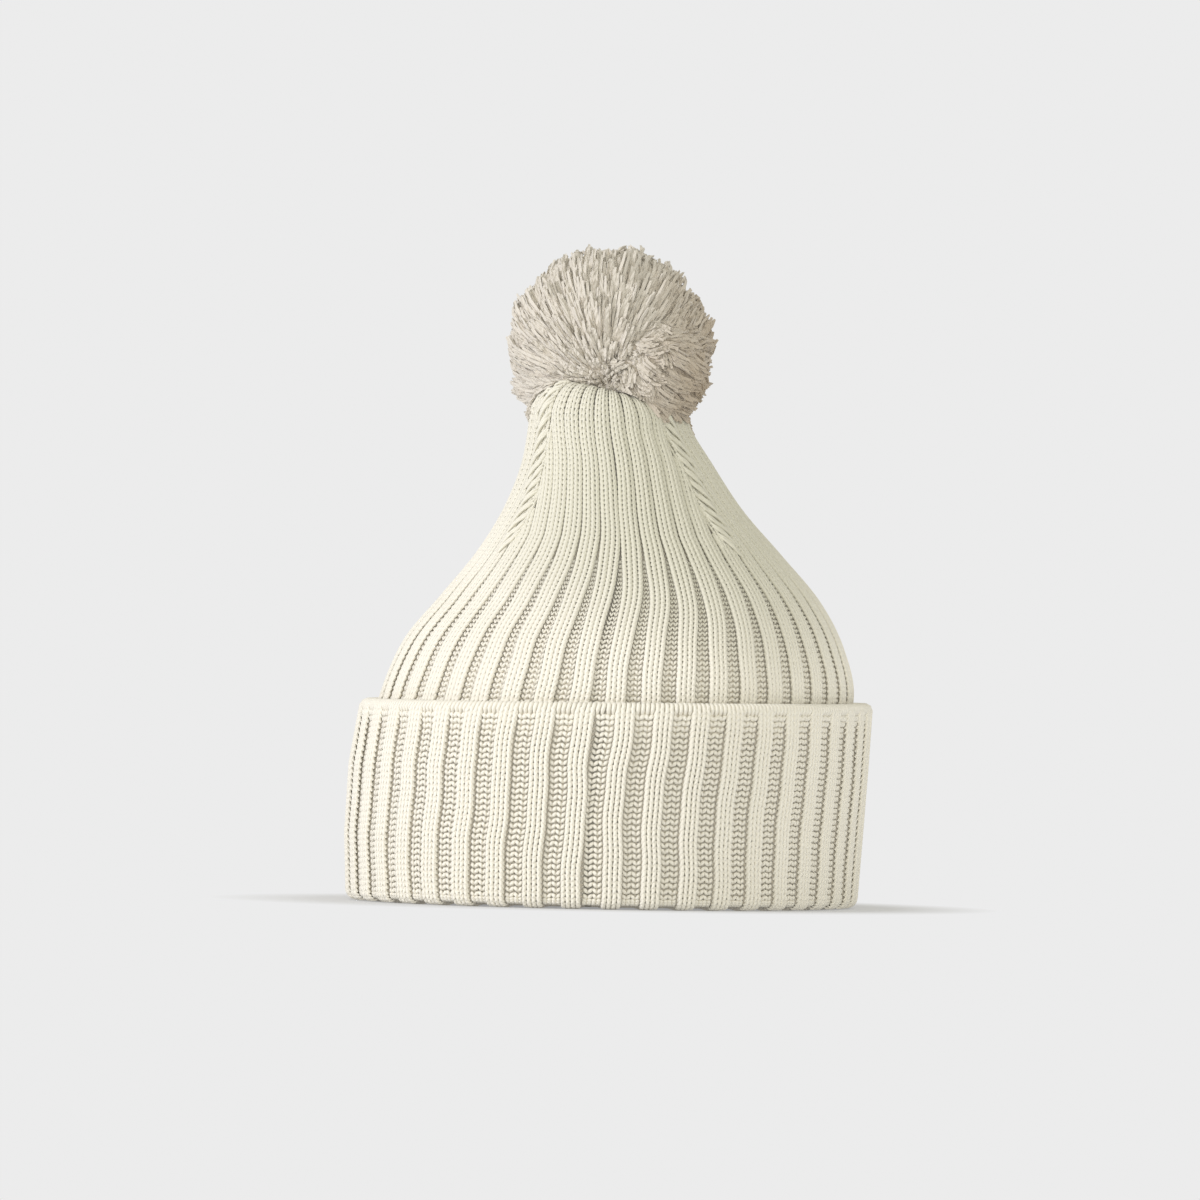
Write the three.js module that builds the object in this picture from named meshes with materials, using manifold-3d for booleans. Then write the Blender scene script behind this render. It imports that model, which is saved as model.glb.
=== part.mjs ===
// A ribbed bobble hat, standing on its brim, in millimetres.
// +Z is up, -Y is the front, and the origin is on the floor under the middle of the band.
// Every wall is a stack of rings that go once round the hat. Each ring follows the ribs of the
// knit, so that a rib is the same column of points from the brim to the gathered top.

import * as THREE from "three";
import { mergeVertices } from "three/addons/utils/BufferGeometryUtils.js";
import Module from "manifold-3d";

// Driving dimensions of the knit
const RIBS = 44; // raised ribs round the hat, two stitches wide, with two-stitch recesses between
const WALL = 4.6; // the knit from the top of a rib to the inside of the hat
const LAYER_GAP = 1.1; // between the turned-up band and the crown inside it
const FIT_GAP = 0.3; // between two pieces that rest on each other

// The turned-up band, measured over its ribs
const BAND_HEIGHT = 66.5;
const BAND_HALF_WIDTH = 86;
const BAND_HALF_DEPTH = 96.5;
const BAND_WALL = 5.2;
const RETURN_HEIGHT = 8; // how far the knit inside the fold belongs to the band
const FOLD_DEPTH = BAND_WALL + LAYER_GAP + WALL; // the whole fold, from outside to inside

// The pompom
const POMPOM_CENTRE = new THREE.Vector3(-2.1, 12, 183.8);
const POMPOM_RADIUS = 33.4; // to the ends of the longest locks
const CORE_RADIUS = 28.6;
// The pompom hangs over the gathered top at the front right, where its yarn is longer.
const TUFT_TOWARDS = new THREE.Vector3(0.66, -0.52, -0.54);
const TUFT_REACH = 6.5; // how much longer
const TUFT_SPREAD = [0.8, 0.98]; // cosines of the angles at which it begins and is full
const LOCKS = 88;
const LOCK_FOOT = 7; // radius of a lock at its root, inside the core
const LOCK_TIP = 3.7;
const LOCK_SIDES = 4;
const LOCK_ROOT_DEPTH = 6; // how deep a lock is rooted in the core
const LOCK_UNEVENNESS = 3.2; // between the longest locks and the shortest
const SEAT_GAP = 0.5; // between the pompom and the knit that it sits on
const SEAT_FROM = 130; // a height well below the pompom

// Decrease lines: ribs end there in pairs between these heights
const DART_RIBS = [-6.1, 4.9, 15.9, 26.9]; // rib number of each line, counted from the front
const DART_START = 122;
const DART_END = 160;
const DART_REACH = 1.5; // ribs that end on each side of a line
const DART_WIDTH = 0.25; // half the width of the dip along a line, in ribs

// Rows of numbers as objects with named columns.
const table = (columns, rows) =>
  rows.map((row) => Object.fromEntries(row.map((value, i) => [columns[i], value])));

// Sections of the crown over its ribs. x and y are the section's middle. recess is a recess's
// share of the knit, and relief its depth. drift moves the ribs round the hat, in ribs. lift
// raises the front left of a section and lowers its back right. points counts those of one rib.
const CROWN_SECTIONS = table(
  ["height", "halfWidth", "halfDepth", "x", "y", "relief", "recess", "drift", "lift", "points"],
  [
    [RETURN_HEIGHT + FIT_GAP, 78.7, 89.2, -0.8, 0, 1.2, 0.4, 0.3, 0, 2],
    [60, 78.7, 89.2, 1.2, 0, 1.6, 0.4, 0.1, 0, 4],
    [71, 77.9, 88, 3.4, 0, 2, 0.4, 0, 0, 4],
    [86, 72.8, 81.5, 4.8, 0.5, 2, 0.36, 0, 0, 4],
    [101, 62.8, 69, 6.8, 1, 2, 0.3, 0, 0, 4],
    [116, 50.4, 54.5, 6.3, 1, 1.8, 0.22, 0, 0, 4],
    [131, 39.3, 41.5, 4, 1, 1.6, 0.16, 0, 0, 4],
    [147, 31, 32, 1.4, 0.5, 1.4, 0.14, 0, 0, 4],
    [156.5, 27.3, 28, -0.8, -0.5, 1.4, 0.14, 0, 0.5, 4],
    [162, 25.8, 26, -1.5, -2, 1.4, 0.14, 0, 1.5, 4],
    [166.2, 21.6, 22, -2.2, -4, 1.3, 0.14, 0, 3.2, 4],
    [167.6, 16, 17, -2.8, -5, 1, 0.14, 0, 4.4, 4],
    [165.6, 10.5, 11, -2.4, -3, 0.6, 0.2, 0, 3.6, 2],
    [161.5, 6, 6, -1.6, -0.5, 0.3, 0.2, 0, 2, 1],
  ],
);
const CROWN_TOP = { height: 160, x: -1.2, y: 0.5 }; // the middle of the gathered dimple
const SMOOTH_INSIDE = [8, 10]; // sections that the inside does without
const INSIDE_RELIEF = 0.3; // how much of the ribs' relief shows inside
const INSIDE_FINE_BELOW = 110; // the inside has two points a rib up to this height, and one above
const LIFT_TOWARDS = THREE.MathUtils.degToRad(-60);
const CROWN_PHASE = -0.82; // rib number of the first recess left of the front
const CROWN_SHEAR = 3; // how far ribs are pushed from the left side towards the right

// The band's path round the fold. depth is measured in from the tops of the ribs, and recess says
// how much of the rib's relief shows there.
const BAND_SECTIONS = table(
  ["height", "depth", "recess", "points"],
  [
    [0, 8.4, 0, 2],
    [0, 2.8, 0, 4],
    [1.5, 0.8, 0.7, 4],
    [5, 0, 1, 4],
    [34, 0, 1, 4],
    [62.5, 0, 1, 4],
    [65.7, 0.9, 0.4, 4],
    [BAND_HEIGHT, 2.6, 0, 2],
    [65.3, 4.6, 0, 2],
    [60, BAND_WALL, 0, 1],
    [7, BAND_WALL, 0, 1],
    [6, BAND_WALL + LAYER_GAP / 2, 0, 1],
    [7, BAND_WALL + LAYER_GAP, 0, 1],
    [RETURN_HEIGHT, BAND_WALL + LAYER_GAP + 0.3, 0, 1],
    [RETURN_HEIGHT, FOLD_DEPTH, 0, 1],
    [3, FOLD_DEPTH, 0, 1],
    [0.9, FOLD_DEPTH - 0.8, 0, 1],
  ],
);
const BAND_RELIEF = 2; // how far the recesses lie behind the ribs
const BAND_RECESS = 0.4; // width of a recess, as a share of a rib and its recess
const BAND_PHASE = -0.76; // rib number of the first recess left of the front
const BAND_SHEAR = 6.4;

// How the band leans: its middle and its width change a little with height
const BAND_LEAN = table(
  ["height", "x", "narrower"],
  [
    [0, -0.9, 1.4],
    [22, -0.7, 0.2],
    [45, 0, 0],
    [BAND_HEIGHT, 1.4, 1.2],
  ],
);

const KNIT = new THREE.MeshStandardMaterial({ color: 0xe9e2d0, roughness: 0.92, metalness: 0 });
const YARN = new THREE.MeshStandardMaterial({ color: 0xd9d0bf, roughness: 0.96, metalness: 0 });

const clamp = THREE.MathUtils.clamp;
const lerp = THREE.MathUtils.lerp;

// The value of a table's column at a height between its rows.
function valueAt(rows, column, height) {
  const above = clamp(rows.findIndex((row) => row.height > height), 1, rows.length - 1);
  const low = rows[above - 1];
  const high = rows[above];
  const share = clamp((height - low.height) / (high.height - low.height), 0, 1);
  return lerp(low[column], high[column], share);
}

// The points of one rib and its recess: where each lies, from one recess's middle to the next, and
// whether it is at the bottom of the recess (1) or on top of the rib (0).
function ribProfile(points, recess) {
  const edge = recess / 2;
  const rise = 0.1; // the slope at each side of a rib
  if (points === 4) {
    return [
      { at: -edge, low: 1 },
      { at: edge, low: 1 },
      { at: edge + rise, low: 0 },
      { at: 1 - edge - rise, low: 0 },
    ];
  }
  if (points === 2) {
    return [
      { at: 0, low: 1 },
      { at: 0.5, low: 0 },
    ];
  }
  return [{ at: 0.5, low: 0 }];
}

// How many ribs have ended on each side of a decrease line at a height.
function endedRibs(height) {
  return DART_REACH * clamp((height - DART_START) / (DART_END - DART_START), 0, 1);
}

// How far a place in the knit lies from the nearest decrease line, in ribs.
function ribsFromDart(rib) {
  const distances = DART_RIBS.map((dart) => THREE.MathUtils.euclideanModulo(rib - dart, RIBS));
  return Math.min(...distances.map((apart) => Math.min(apart, RIBS - apart)));
}

// The angle round the hat, from the front towards the right, of a place counted in ribs. Ribs
// that ended below this height take up no room, and the middle of each panel stays where it is.
function angleOf(rib, height, shear, meanRadius) {
  const ended = endedRibs(height);
  const panelMiddle = DART_RIBS[0] - RIBS / DART_RIBS.length / 2;
  const laps = Math.floor((rib - panelMiddle) / RIBS);
  const passed = rib - panelMiddle - laps * RIBS;
  const gone = DART_RIBS.map((dart) => clamp(passed + panelMiddle - dart + ended, 0, 2 * ended));
  const left = passed - gone.reduce((sum, ribs) => sum + ribs, 0);
  const ribsLeft = RIBS - 2 * ended * DART_RIBS.length;
  const turn = 2 * Math.PI * (panelMiddle / RIBS + left / ribsLeft + laps);
  return turn + (shear / meanRadius) * Math.cos(turn);
}

// A point on an oval section, with even steps of the angle nearly even along the oval.
function onOval(halfWidth, halfDepth, angle) {
  const oval = (halfDepth - halfWidth) / (halfDepth + halfWidth);
  const turned = angle + (oval / 2) * Math.sin(2 * angle);
  return { x: halfWidth * Math.sin(turned), y: -halfDepth * Math.cos(turned), turned };
}

// A ring of the crown, offset inwards by depth along the wall's slope. It has no points where
// ribs have ended, and it dips along the decrease lines.
function crownRing(section, slope, depth, points, follow) {
  const { height, halfWidth, halfDepth, recess, relief, lift } = section;
  const ended = endedRibs(height);
  const ring = [];
  for (let rib = 0; rib < RIBS; rib += 1) {
    for (const { at, low } of ribProfile(points, recess)) {
      const place = CROWN_PHASE + section.drift + rib + at;
      const beyond = ribsFromDart(place) - ended;
      if (ended > 0 && beyond < DART_WIDTH / 2) {
        continue;
      }
      const dip = ended > 0 && beyond < DART_WIDTH ? 1 : low;
      const angle = angleOf(place, height, CROWN_SHEAR, (halfWidth + halfDepth) / 2);
      const inwards = depth + dip * relief * follow;
      const radial = slope.out * inwards;
      const { x, y, turned } = onOval(halfWidth - radial, halfDepth - radial, angle);
      const raised = lift * Math.cos(turned - LIFT_TOWARDS);
      const z = height + raised - slope.up * inwards;
      ring.push({ order: rib + at, point: [section.x + x, section.y + y, z] });
    }
  }
  return ring;
}

// Which way the crown's wall faces at a section, outwards and upwards.
function slopeAt(index) {
  const below = CROWN_SECTIONS[Math.max(index - 1, 0)];
  const above = CROWN_SECTIONS[Math.min(index + 1, CROWN_SECTIONS.length - 1)];
  const rise = above.height - below.height;
  const narrows = below.halfWidth - above.halfWidth;
  const length = Math.hypot(rise, narrows);
  return { out: rise / length, up: narrows / length };
}

// A ring of the band, by its height and its depth behind the tops of the ribs.
function bandRing({ height, depth, recess, points }) {
  const ring = [];
  const narrower = valueAt(BAND_LEAN, "narrower", height);
  const middle = valueAt(BAND_LEAN, "x", height);
  for (let rib = 0; rib < RIBS; rib += 1) {
    for (const { at, low } of ribProfile(points, BAND_RECESS)) {
      const inwards = narrower + depth + low * BAND_RELIEF * recess;
      const place = BAND_PHASE + rib + at;
      const angle = angleOf(place, 0, BAND_SHEAR, (BAND_HALF_WIDTH + BAND_HALF_DEPTH) / 2);
      const { x, y } = onOval(BAND_HALF_WIDTH - inwards, BAND_HALF_DEPTH - inwards, angle);
      ring.push({ order: rib + at, point: [middle + x, y, height] });
    }
  }
  return ring;
}

// Joins rings into one closed skin. Neighbouring rings may have different numbers of points: each
// step goes on round the ring whose next point comes first. A skin that doesn't close on itself
// ends in a fan at each end.
function skin(rings, ends) {
  const positions = [];
  const starts = rings.map((ring) => {
    const start = positions.length / 3;
    ring.forEach(({ point }) => positions.push(...point));
    return start;
  });
  const index = [];
  const pairs = ends ? rings.length - 1 : rings.length;
  for (let k = 0; k < pairs; k += 1) {
    const upper = (k + 1) % rings.length;
    const orderOf = (ring, i) => ring[i % ring.length].order + (i >= ring.length ? RIBS : 0);
    let a = 0;
    let b = 0;
    while (a < rings[k].length || b < rings[upper].length) {
      const cornerA = starts[k] + (a % rings[k].length);
      const cornerB = starts[upper] + (b % rings[upper].length);
      const nextA = orderOf(rings[k], a + 1);
      const nextB = orderOf(rings[upper], b + 1);
      if (a < rings[k].length && (b >= rings[upper].length || nextA <= nextB)) {
        index.push(cornerA, starts[k] + ((a + 1) % rings[k].length), cornerB);
        a += 1;
      } else {
        index.push(cornerA, starts[upper] + ((b + 1) % rings[upper].length), cornerB);
        b += 1;
      }
    }
  }
  if (ends) {
    const first = positions.length / 3;
    positions.push(...ends[0], ...ends[1]);
    const last = rings.length - 1;
    for (let i = 0; i < rings[0].length; i += 1) {
      index.push(first, starts[0] + ((i + 1) % rings[0].length), starts[0] + i);
    }
    for (let i = 0; i < rings[last].length; i += 1) {
      index.push(first + 1, starts[last] + i, starts[last] + ((i + 1) % rings[last].length));
    }
  }
  const geometry = new THREE.BufferGeometry();
  geometry.setAttribute("position", new THREE.Float32BufferAttribute(positions, 3));
  geometry.setIndex(index);
  return geometry;
}

function crownGeometry() {
  const inside = CROWN_SECTIONS.map((section, index) => {
    const points = Math.min(section.points, section.height < INSIDE_FINE_BELOW ? 2 : 1);
    const depth = WALL - section.relief / 2;
    return crownRing(section, slopeAt(index), depth, points, INSIDE_RELIEF);
  });
  const kept = inside.filter((_, index) => !SMOOTH_INSIDE.includes(index));
  const outside = CROWN_SECTIONS.map((section, index) =>
    crownRing(section, slopeAt(index), 0, section.points, 1),
  );
  const top = [CROWN_TOP.x, CROWN_TOP.y, CROWN_TOP.height];
  const ceiling = [CROWN_TOP.x, CROWN_TOP.y, CROWN_TOP.height - WALL];
  return skin([...kept.reverse(), ...outside], [ceiling, top]);
}

function bandGeometry() {
  return skin(BAND_SECTIONS.map(bandRing), null);
}

// A repeatable value between 0 and 1 for each number.
function scatter(number) {
  const wave = Math.sin(number * 127.1 + 11.7) * 43758.5453;
  return wave - Math.floor(wave);
}

// How much longer the yarn is in a direction from the pompom's middle.
function tuft(direction) {
  const [edge, full] = TUFT_SPREAD;
  return TUFT_REACH * THREE.MathUtils.smoothstep(direction.dot(TUFT_TOWARDS), edge, full);
}

// One lock of yarn, standing on the core and pointing away from its middle.
function lockGeometry(number) {
  const goldenTurn = Math.PI * (3 - Math.sqrt(5));
  const height = 1 - (2 * (number + 0.5)) / LOCKS;
  const flat = Math.sqrt(1 - height * height);
  const direction = new THREE.Vector3(
    flat * Math.cos(number * goldenTurn),
    flat * Math.sin(number * goldenTurn),
    height,
  );
  const longer = tuft(direction);
  const reach = POMPOM_RADIUS - LOCK_UNEVENNESS * scatter(number) + longer;
  const foot = CORE_RADIUS - LOCK_ROOT_DEPTH + longer;
  const lock = new THREE.CylinderGeometry(LOCK_TIP, LOCK_FOOT, reach - foot, LOCK_SIDES);
  lock.rotateY(scatter(number + 500) * Math.PI);
  lock.translate(0, (reach + foot) / 2, 0);
  const up = new THREE.Vector3(0, 1, 0);
  lock.applyQuaternion(new THREE.Quaternion().setFromUnitVectors(up, direction));
  return lock.translate(...POMPOM_CENTRE.toArray());
}

const wasm = await Module();
wasm.setup();

function toSolid(geometry) {
  const bare = geometry.clone();
  bare.deleteAttribute("normal");
  bare.deleteAttribute("uv");
  const merged = mergeVertices(bare, 1e-4);
  const mesh = new wasm.Mesh({
    numProp: 3,
    vertProperties: new Float32Array(merged.attributes.position.array),
    triVerts: new Uint32Array(merged.index.array),
  });
  return new wasm.Manifold(mesh);
}

function toGeometry(solid) {
  const mesh = solid.getMesh();
  const geometry = new THREE.BufferGeometry();
  geometry.setAttribute("position", new THREE.BufferAttribute(mesh.vertProperties, 3));
  geometry.setIndex(new THREE.BufferAttribute(mesh.triVerts, 1));
  return geometry;
}

// The crown's upper part as a full body, a little larger than the knit: what the pompom leaves free.
function seatSolid() {
  const first = CROWN_SECTIONS.findIndex((section) => section.height > SEAT_FROM);
  const rings = CROWN_SECTIONS.slice(first).map((section, index) =>
    crownRing(section, slopeAt(first + index), -SEAT_GAP, 1, 0),
  );
  const bottom = CROWN_SECTIONS[first];
  const top = [CROWN_TOP.x, CROWN_TOP.y, CROWN_TOP.height + SEAT_GAP];
  return toSolid(skin(rings, [[bottom.x, bottom.y, bottom.height], top]));
}

function pompomGeometry() {
  const core = new THREE.IcosahedronGeometry(CORE_RADIUS, 2);
  const place = core.attributes.position;
  const point = new THREE.Vector3();
  for (let index = 0; index < place.count; index += 1) {
    point.fromBufferAttribute(place, index);
    point.setLength(CORE_RADIUS + tuft(point.clone().normalize()));
    place.setXYZ(index, ...point.toArray());
  }
  let ball = toSolid(core.translate(...POMPOM_CENTRE.toArray()));
  for (let number = 0; number < LOCKS; number += 1) {
    ball = ball.add(toSolid(lockGeometry(number)));
  }
  const seated = ball.subtract(seatSolid());
  const bodies = seated.decompose().sort((a, b) => b.volume() - a.volume());
  return toGeometry(bodies[0]);
}

function named(name, geometry, material) {
  geometry.computeVertexNormals();
  const mesh = new THREE.Mesh(geometry, material);
  mesh.name = name;
  return mesh;
}

const hat = new THREE.Group();
hat.add(named("crown", crownGeometry(), KNIT));
hat.add(named("cuff", bandGeometry(), KNIT));
hat.add(named("pompom", pompomGeometry(), YARN));

export default hat;
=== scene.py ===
# %% [markdown]
# # A ribbed bobble hat
# The hat is a knitted tube: two stitches knitted, two purled, all the way round. Its lower end is
# turned up into a wide band, and its upper end is narrowed along four lines and gathered under a
# ball of cut yarn. This lesson lays real stitches on the plain solids, so the solids come first.

import bpy
import numpy as np
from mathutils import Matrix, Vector


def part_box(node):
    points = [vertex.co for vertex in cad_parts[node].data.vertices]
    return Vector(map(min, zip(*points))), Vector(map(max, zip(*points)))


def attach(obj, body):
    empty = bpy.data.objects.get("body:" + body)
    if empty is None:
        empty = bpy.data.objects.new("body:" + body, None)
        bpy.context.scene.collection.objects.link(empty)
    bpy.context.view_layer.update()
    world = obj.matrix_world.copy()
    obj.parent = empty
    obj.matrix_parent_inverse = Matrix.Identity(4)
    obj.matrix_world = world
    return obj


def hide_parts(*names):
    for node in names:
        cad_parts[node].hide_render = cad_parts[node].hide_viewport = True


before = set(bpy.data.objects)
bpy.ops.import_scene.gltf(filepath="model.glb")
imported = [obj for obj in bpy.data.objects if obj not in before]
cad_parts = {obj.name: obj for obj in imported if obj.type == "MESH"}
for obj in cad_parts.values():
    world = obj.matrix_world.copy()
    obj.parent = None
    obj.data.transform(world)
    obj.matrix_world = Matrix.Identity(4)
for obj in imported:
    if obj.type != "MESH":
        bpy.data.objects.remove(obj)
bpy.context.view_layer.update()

MM = 0.001  # lengths below are in millimetres, and a mesh is made in metres
TINY = 1e-9  # keeps a division by a length from failing
_, band_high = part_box("cuff")
BAND_HEIGHT = band_high.z / MM

# %% [markdown]
# ## The sections of the crown
# A knitted crown has no edges, so its shape is best told by a few oval sections, each with a
# height, two half widths and a middle. Modelling by hand with subdivision would also work, but
# the stitches need to know where "rib 12, 84 mm along the knit" lies, and a function answers that.

# %% Tables with named columns
def table(columns, rows):
    return dict(zip(columns.split(), np.array(rows, dtype=float).T))


CROWN = table(
    "height half_width half_depth middle_x middle_y relief recess rounding drift lift",
    [
        [8.0, 78.7, 89.2, -0.8, 0, 1.2, 0.40, 0.1, 0.3, 0],
        [60, 78.7, 89.2, 1.2, 0, 1.18, 0.42, 0.15, 0.1, 0],
        [71, 77.9, 88, 3.4, 0, 1.12, 0.43, 0.2, 0, 0],
        [86, 72.8, 81.5, 4.8, 0.5, 0.92, 0.38, 0.25, 0, 0],
        [101, 62.8, 69, 6.8, 1, 0.75, 0.26, 0.25, 0, 0],
        [116, 50.4, 54.5, 6.3, 1, 0.4, 0.08, 0.3, 0, 0],
        [131, 39.3, 41.5, 4, 1, 0.12, 0.015, 0.5, 0, 0],
        [147, 31, 32, 1.4, 0.5, 0.1, 0.005, 0.6, 0, 0],
        [156.5, 27.3, 28, -0.8, -0.5, 0.2, 0.01, 0.6, 0, 0.5],
        [162, 25.8, 26, -1.5, -2, 0.5, 0.05, 0.6, 0, 1.5],
        [166.2, 21.6, 22, -2.2, -4, 0.9, 0.1, 0.6, 0, 3.2],
        [167.6, 16, 17, -2.8, -5, 1.0, 0.12, 0.5, 0, 4.4],
        [165.6, 10.5, 11, -2.4, -3, 0.8, 0.2, 0.3, 0, 3.6],
        [161.5, 6, 6, -1.6, -0.5, 0.4, 0.2, 0, 0, 2],
        [160.2, 1.2, 1.2, -1.2, 0.4, 0, 0.2, 0, 0, 0.4],
    ],
)
CROWN["half"] = (CROWN["half_width"] + CROWN["half_depth"]) / 2
steps = np.hypot(np.diff(CROWN["half"]), np.diff(CROWN["height"]))
CROWN_ALONG = np.concatenate([[0], np.cumsum(steps)])  # millimetres along the knit, from the fold up
print(f"The crown's knit is {CROWN_ALONG[-1]:.0f} mm long from the fold to its gathered top")

# %% [markdown]
# Straight lines between the sections would show as rings. Each column is therefore joined by
# cubic curves, sampled once, so that asking for a value later is only a look-up.

# %% A smooth curve through a table's column
def smooth(knots, values, at):
    slopes = np.gradient(values, knots)
    i = np.clip(np.searchsorted(knots, at, side="right") - 1, 0, len(knots) - 2)
    width = knots[i + 1] - knots[i]
    s = np.clip((at - knots[i]) / width, 0, 1)
    rise = s * s * (3 - 2 * s)
    start = s * (1 - s) ** 2 * width
    end = -s * s * (1 - s) * width
    return values[i] * (1 - rise) + values[i + 1] * rise + slopes[i] * start + slopes[i + 1] * end


FINE_ALONG = np.linspace(0, CROWN_ALONG[-1], 1500)
CROWN_FINE = {name: smooth(CROWN_ALONG, column, FINE_ALONG) for name, column in CROWN.items()}


def crown_value(name, along):
    return np.interp(along, FINE_ALONG, CROWN_FINE[name])


print(f"At the top of the band the crown is {2 * crown_value('half_width', 62):.1f} mm wide")

# %% [markdown]
# ## Ribs, and where they end
# A place in the knit is counted in ribs round the hat and in millimetres along it. Forty-four ribs
# start at the fold. Along four lines some of them end, which narrows the hat, and their neighbours
# close over them. A texture could fake this, but its lines would not catch the light.

# %% Counting ribs round the hat
RIBS = 44
DARTS = np.array([-6.4, 4.5, 15.9, 26.9])  # the lines where ribs end, in ribs from the front
DART_START, DART_END = 122.0, 160.0  # heights between which they end
DART_REACH = 1.5  # ribs that end on each side of a line
CROWN_PHASE, BAND_PHASE = -0.82, -0.76  # in ribs: how far the first rib is turned aside
CROWN_SHEAR, BAND_SHEAR = 3.0, 6.4  # in millimetres: how far ribs are pulled to one side


def ended_ribs(height):
    return DART_REACH * np.clip((height - DART_START) / (DART_END - DART_START), 0, 1)


def ribs_from_dart(rib):
    apart = np.mod(rib[..., None] - DARTS, RIBS)
    return np.minimum(apart, RIBS - apart).min(-1)


def angle_of(rib, height, shear, mean_radius):
    ended = ended_ribs(height)
    panel_middle = DARTS[0] - RIBS / len(DARTS) / 2
    laps = np.floor((rib - panel_middle) / RIBS)
    passed = rib - panel_middle - laps * RIBS
    left = passed.copy()
    for dart in DARTS:
        left -= np.clip(passed + panel_middle - dart + ended, 0, 2 * ended)
    ribs_left = RIBS - 2 * ended * len(DARTS)
    turn = 2 * np.pi * (panel_middle / RIBS + left / ribs_left + laps)
    return turn + shear / mean_radius * np.cos(turn)


SLOW_WAVE, SLOW_SHIFT = 46, 0.23  # a wave's length along a rib, and its shift from rib to rib
QUICK_WAVE, QUICK_SHIFT, QUICK_SHARE = 17, 1.3, 0.3


def sway(rib, height, amount):
    """Ribs wander a little from side to side, as knitting that has been worn does."""
    slow = np.sin(2 * np.pi * height / SLOW_WAVE + SLOW_SHIFT * rib)
    quick = np.sin(2 * np.pi * height / QUICK_WAVE + QUICK_SHIFT * rib)
    return amount * (slow + QUICK_SHARE * quick)


print(f"{RIBS} ribs at the fold, {RIBS - 2 * DART_REACH * len(DARTS):.0f} at the gathered top")

# %% [markdown]
# Every stitch asks where in space a rib is at some length, and which way is out. One function
# answers for the crown: it starts on the oval, lifts the section and moves in where a recess
# runs. Modifiers could bend a flat knit, but would stretch its stitches.

# %% From a place in the knit to a point in space
LIFT_TOWARDS = np.radians(-60)  # the side on which the gathered top stands highest
RIB_SIDE, RIB_SIDE_LEAD = 0.11, 0.03  # in ribs: how wide a rib's side is, and where it starts
CROWN_SWAY = 0.03
SLOPE_STEP = 0.5  # half the length over which the knit's slope is measured


def lowness(across, recess):
    """1 in the recess between two ribs and 0 on top of a rib. across runs from recess to recess."""
    from_recess = np.abs(across - np.round(across))
    share = np.clip((from_recess - recess / 2 + RIB_SIDE_LEAD) / RIB_SIDE, 0, 1)
    return 1 - share * share * (3 - 2 * share)


def on_oval(half_width, half_depth, angle):
    oval = (half_depth - half_width) / (half_depth + half_width)
    turned = angle + oval / 2 * np.sin(2 * angle)
    out_x, out_y = np.sin(turned) * half_depth, -np.cos(turned) * half_width
    size = np.hypot(out_x, out_y)
    return half_width * np.sin(turned), -half_depth * np.cos(turned), out_x / size, out_y / size, turned


def crown_place(rib, along, out=0.0, follow=1.0):
    """The point and the outward direction at a place in the crown's knit."""
    rib, along = np.broadcast_arrays(np.asarray(rib, float), np.asarray(along, float))
    height = crown_value("height", along)
    half_width, half_depth = crown_value("half_width", along), crown_value("half_depth", along)
    relief, recess = crown_value("relief", along), crown_value("recess", along)
    place = CROWN_PHASE + crown_value("drift", along) + rib + sway(rib, height, CROWN_SWAY)
    angle = angle_of(place, height, CROWN_SHEAR, (half_width + half_depth) / 2)
    x, y, out_x, out_y, turned = on_oval(half_width, half_depth, angle)
    before, after = along - SLOPE_STEP, along + SLOPE_STEP
    rise = crown_value("height", after) - crown_value("height", before)
    narrowing = crown_value("half", before) - crown_value("half", after)
    length = np.hypot(rise, narrowing) + TINY
    flat, up = rise / length, narrowing / length
    low = lowness(rib, recess)
    lifted = crown_value("lift", along) * np.cos(turned - LIFT_TOWARDS)
    rounded = crown_value("rounding", along) * (0.5 + 0.5 * np.cos(2 * np.pi * rib)) ** 2
    depth = out - follow * (relief * low + rounded)
    point = np.stack(
        [
            crown_value("middle_x", along) + x + out_x * flat * depth,
            crown_value("middle_y", along) + y + out_y * flat * depth,
            height + lifted + up * depth,
        ],
        -1,
    )
    return point, np.stack([out_x * flat, out_y * flat, up], -1)


sample, _ = crown_place(0.0, 150.0)
print(f"A place half way up the front of the crown lies at {np.round(sample, 1)} mm")

# %% [markdown]
# ## The band's path
# The band is the same knit, turned over at the brim. A cut through it runs flat where it rests,
# up the outside, over a smooth cast-on edge, and down again inside, where a short stretch joins
# the crown. The cut is drawn once, from straight walls and arcs, and swept round the hat.

# %% The cut through the band
BAND_HALF_WIDTH, BAND_HALF_DEPTH = 86.0, 96.5
BAND_RECESS = 0.48
BAND_WALL, LAYER_GAP, WALL = 5.2, 1.1, 4.6
FOLD_DEPTH = BAND_WALL + LAYER_GAP + WALL
FOLD_RADIUS = 3.2
EDGE_RADIUS = BAND_WALL / 2
OUTER_POINTS, FOLD_POINTS = 14, 7  # points of the outer wall, and of the arc at the fold
BAND_LEAN = table("height x narrower", [[0, -1, 1.4], [22, -0.7, 0.2], [45, 0.6, 0], [66.5, 3, 1.2]])


def arc(middle_height, middle_depth, radius, first, last, count=FOLD_POINTS):
    """Points of an arc, in degrees: 0 faces out of the hat and 90 faces up."""
    turns = np.radians(np.linspace(first, last, count))
    return [[middle_height + radius * np.sin(t), middle_depth - radius * np.cos(t)] for t in turns]


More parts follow.
